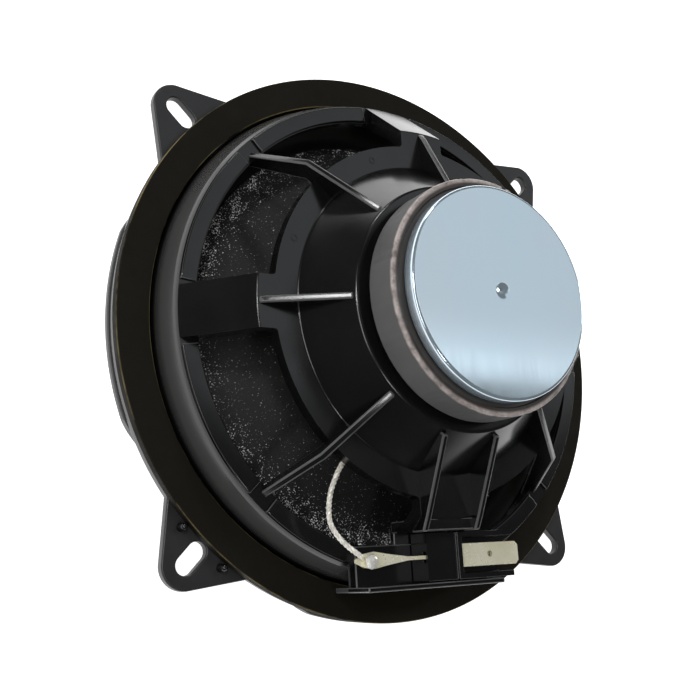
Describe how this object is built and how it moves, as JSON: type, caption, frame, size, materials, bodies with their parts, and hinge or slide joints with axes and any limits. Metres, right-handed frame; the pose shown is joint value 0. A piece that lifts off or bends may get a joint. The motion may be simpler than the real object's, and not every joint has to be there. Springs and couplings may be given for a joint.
{
  "type": "coaxial car speaker",
  "caption": "Round full-range car speaker with a ribbed open basket, diagonal slotted mounting ears, a ring magnet at the rear and a tweeter on a post.",
  "frame": {"origin": "centre of the front rim's face, on the speaker's axis", "axes": "+Z from the front rim to the rear of the magnet, -Y towards the terminal block, +X completes the frame"},
  "size_m": [0.165, 0.165, 0.0638],
  "materials": {
    "basket": "glossy black moulded plastic",
    "rear_gasket": "matt dark foam rubber",
    "front_trim_ring": "satin dark grey plastic",
    "surround": "matt black rubber",
    "cone": "black treated paper with fine fibres",
    "cone_eyelet_left": "bright",
    "cone_eyelet_right": "bright",
    "spider": "resin-treated woven cloth",
    "voice_coil_former": "amber film",
    "voice_coil_winding": "varnished copper wire",
    "top_plate": "zinc plated",
    "magnet": "dark grey ferrite",
    "yoke": "bright zinc plated, bluish",
    "tweeter_post": "satin",
    "tweeter_housing": "satin",
    "tweeter_faceplate": "satin",
    "tweeter_dome": "satin metallised film",
    "tweeter_coil": "varnished copper wire",
    "tweeter_suspension": "matt",
    "tweeter_yoke": "plated",
    "tweeter_magnet": "nickel plated",
    "tweeter_pole_plate": "plated",
    "tweeter_screw": "plated",
    "tweeter_capacitor": "dark blue sleeve",
    "capacitor_tie": "satin",
    "capacitor_lead": "tinned wire",
    "tweeter_lead_left": "fine stranded wire",
    "tweeter_lead_right": "fine stranded wire",
    "terminal_housing": "glossy black",
    "terminal_tab_upper": "tinned",
    "terminal_tab_lower": "tinned",
    "solder_joint_left": "bright solder",
    "solder_joint_right": "bright solder",
    "coil_lead_left": "off-white braided tinsel",
    "coil_lead_right": "off-white braided tinsel"
  },
  "bodies": {
    "frame": {"basket": "basket", "rear_gasket": "rear_gasket", "front_trim_ring": "front_trim_ring", "surround": "surround", "spider": "spider", "top_plate": "top_plate", "magnet": "magnet", "yoke": "yoke", "tweeter_post": "tweeter_post", "tweeter_housing": "tweeter_housing", "tweeter_faceplate": "tweeter_faceplate", "tweeter_suspension": "tweeter_suspension", "tweeter_yoke": "tweeter_yoke", "tweeter_magnet": "tweeter_magnet", "tweeter_pole_plate": "tweeter_pole_plate", "tweeter_screw": "tweeter_screw", "tweeter_capacitor": "tweeter_capacitor", "capacitor_tie": "capacitor_tie", "capacitor_lead": "capacitor_lead", "tweeter_lead_left": "tweeter_lead_left", "tweeter_lead_right": "tweeter_lead_right", "terminal_housing": "terminal_housing", "terminal_tab_upper": "terminal_tab_upper", "terminal_tab_lower": "terminal_tab_lower", "solder_joint_left": "solder_joint_left", "solder_joint_right": "solder_joint_right", "coil_lead_left": "coil_lead_left", "coil_lead_right": "coil_lead_right"},
    "cone_assembly": {"cone": "cone", "cone_eyelet_left": "cone_eyelet_left", "cone_eyelet_right": "cone_eyelet_right", "voice_coil_former": "voice_coil_former", "voice_coil_winding": "voice_coil_winding"},
    "tweeter_diaphragm": {"tweeter_dome": "tweeter_dome", "tweeter_coil": "tweeter_coil"}
  },
  "joints": [
    {"name": "cone_travel", "type": "slide", "parent": "frame", "child": "cone_assembly", "axis": [0, 0, 1], "range_m": [-0.004, 0.004], "stiffness_N_per_m": 2000, "deforming": ["surround", "spider", "coil_lead_left", "coil_lead_right", "tweeter_lead_left", "tweeter_lead_right"]},
    {"name": "tweeter_travel", "type": "slide", "parent": "frame", "child": "tweeter_diaphragm", "axis": [0, 0, 1], "range_m": [-0.00025, 0.00025], "stiffness_N_per_m": 100, "deforming": ["tweeter_suspension"]}
  ]
}
